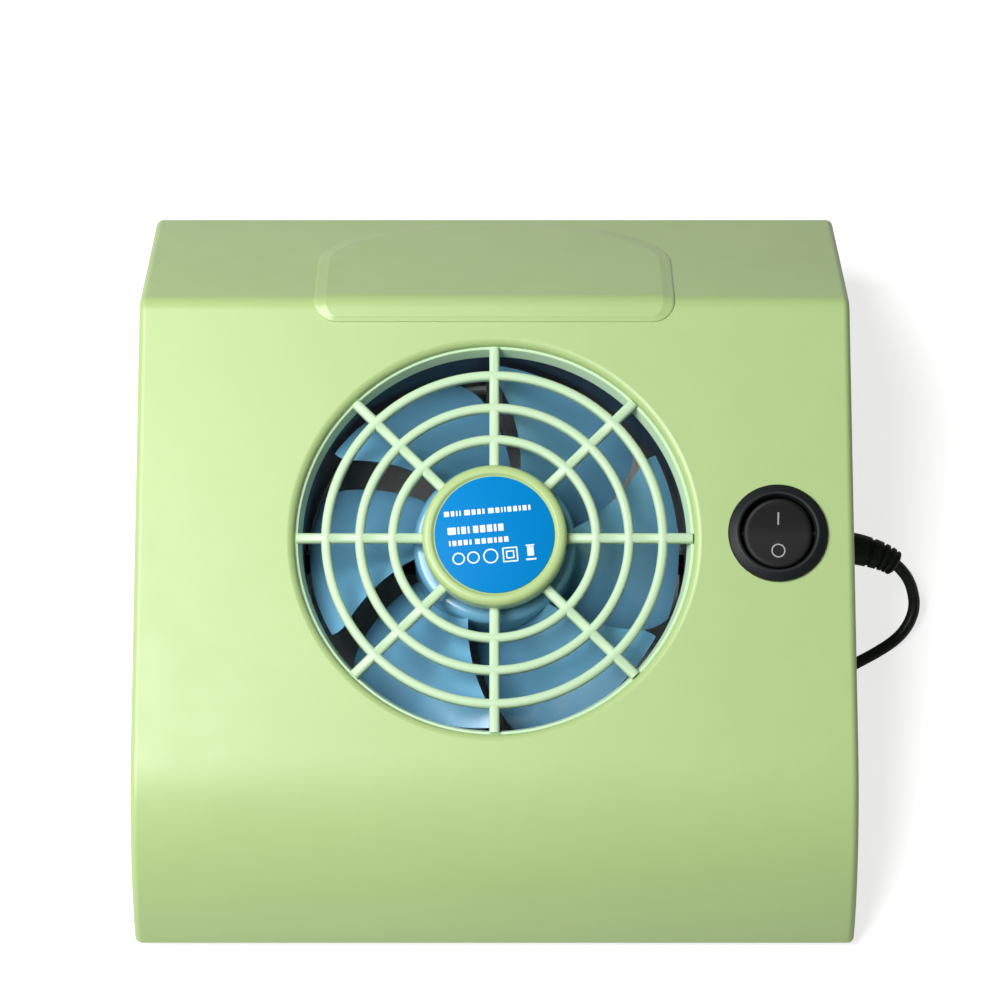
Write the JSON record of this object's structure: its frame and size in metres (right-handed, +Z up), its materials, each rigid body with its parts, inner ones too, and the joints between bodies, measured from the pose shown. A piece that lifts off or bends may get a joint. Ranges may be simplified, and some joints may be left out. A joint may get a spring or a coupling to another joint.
{
  "type": "nail dust collector",
  "caption": "Desktop nail dust collector: sloping pale green hood, round fan grille, rocker switch, cloth dust bag under the hood and a coiled USB lead.",
  "frame": {"origin": "on the table, under the middle of the hood (bottom centre of the bounding box without the free lead)", "axes": "+X to the user's right, +Y away from the user, +Z up"},
  "size_m": [0.1851, 0.182, 0.0643],
  "materials": {
    "housing": "moulded ABS, pale lime green, semi-gloss",
    "grille": "moulded ABS, pale lime green, semi-gloss",
    "label": null,
    "fan_frame": "black PBT, satin",
    "impeller": "steel-blue PBT, satin",
    "bearing": "sintered bronze",
    "core_steel": "stacked laminations",
    "windings": "enamelled copper wire, coppery",
    "circuit_board": "green solder mask",
    "rotor_steel": "plated steel",
    "magnet": "bonded ferrite, dark grey",
    "steel": "bright zinc or polished steel",
    "clip_plastic": "white nylon",
    "collar": "white polypropylene",
    "bag_cloth": "white spun nonwoven cloth",
    "elastic": "gathered elastic hem",
    "switch_body": "dark grey nylon, fine satin texture",
    "rocker": "near-black nylon, satin",
    "copper": "copper alloy",
    "terminal": "tinned brass",
    "cable": "matt black PVC jacket",
    "boot": "matt black moulded PVC",
    "plug_steel": "nickel-plated steel",
    "plug_insulator": "white insulator",
    "contacts": "gold flash",
    "tie": "black hook-and-loop tape",
    "wire_red": "red PVC",
    "wire_black": "black PVC",
    "foot": "matt black rubber"
  },
  "bodies": {
    "root": {"top_shell": "housing", "intake_grille": "grille", "hub_label": "label", "fan_frame": "fan_frame", "fan_bearing": "bearing", "stator_core": "core_steel", "stator_windings": "windings", "fan_pcb": "circuit_board", "fan_screws": "steel", "outlet_collar": "collar", "dust_bag": "bag_cloth", "bag_elastic": "elastic", "switch_housing": "switch_body", "terminal_common": "terminal", "terminal_load": "terminal", "strain_relief": "boot", "usb_cord": "cable", "cord_coil": "cable", "coil_tie": "tie", "usb_plug_body": "boot", "usb_plug_shell": "plug_steel", "usb_plug_tongue": "plug_insulator", "usb_plug_contacts": "contacts", "inner_lead": "cable", "wire_red_supply": "wire_red", "wire_red_fan": "wire_red", "wire_black": "wire_black", "heat_shrinks": "wire_black", "foot_front_left": "foot", "foot_front_right": "foot", "foot_rear_left": "foot", "foot_rear_right": "foot"},
    "rotor": {"impeller": "impeller", "rotor_cup": "rotor_steel", "rotor_magnet": "magnet", "rotor_shaft": "steel", "shaft_clip": "clip_plastic"},
    "rocker": {"rocker": "rocker", "plunger": "clip_plastic", "plunger_spring": "steel"},
    "lever": {"contact_lever": "copper"}
  },
  "joints": [
    {"name": "fan_spin", "type": "hinge", "parent": "root", "child": "rotor", "pos_m": [0, -0.00532, 0.03475], "axis": [0, -0.2588, 0.9659], "continuous": true},
    {"name": "rocker_tilt", "type": "hinge", "parent": "root", "child": "rocker", "pos_m": [0.0653, -0.00817, 0.04848], "axis": [-1, 0, 0], "range_deg": [0, 20]},
    {"name": "lever_tilt", "type": "hinge", "parent": "root", "child": "lever", "pos_m": [0.0653, -0.00568, 0.0392], "axis": [-1, 0, 0], "range_deg": [-12, 0]}
  ],
  "couplings": [
    {"joint": "lever_tilt", "follows": "rocker_tilt", "ratio": -0.6}
  ]
}
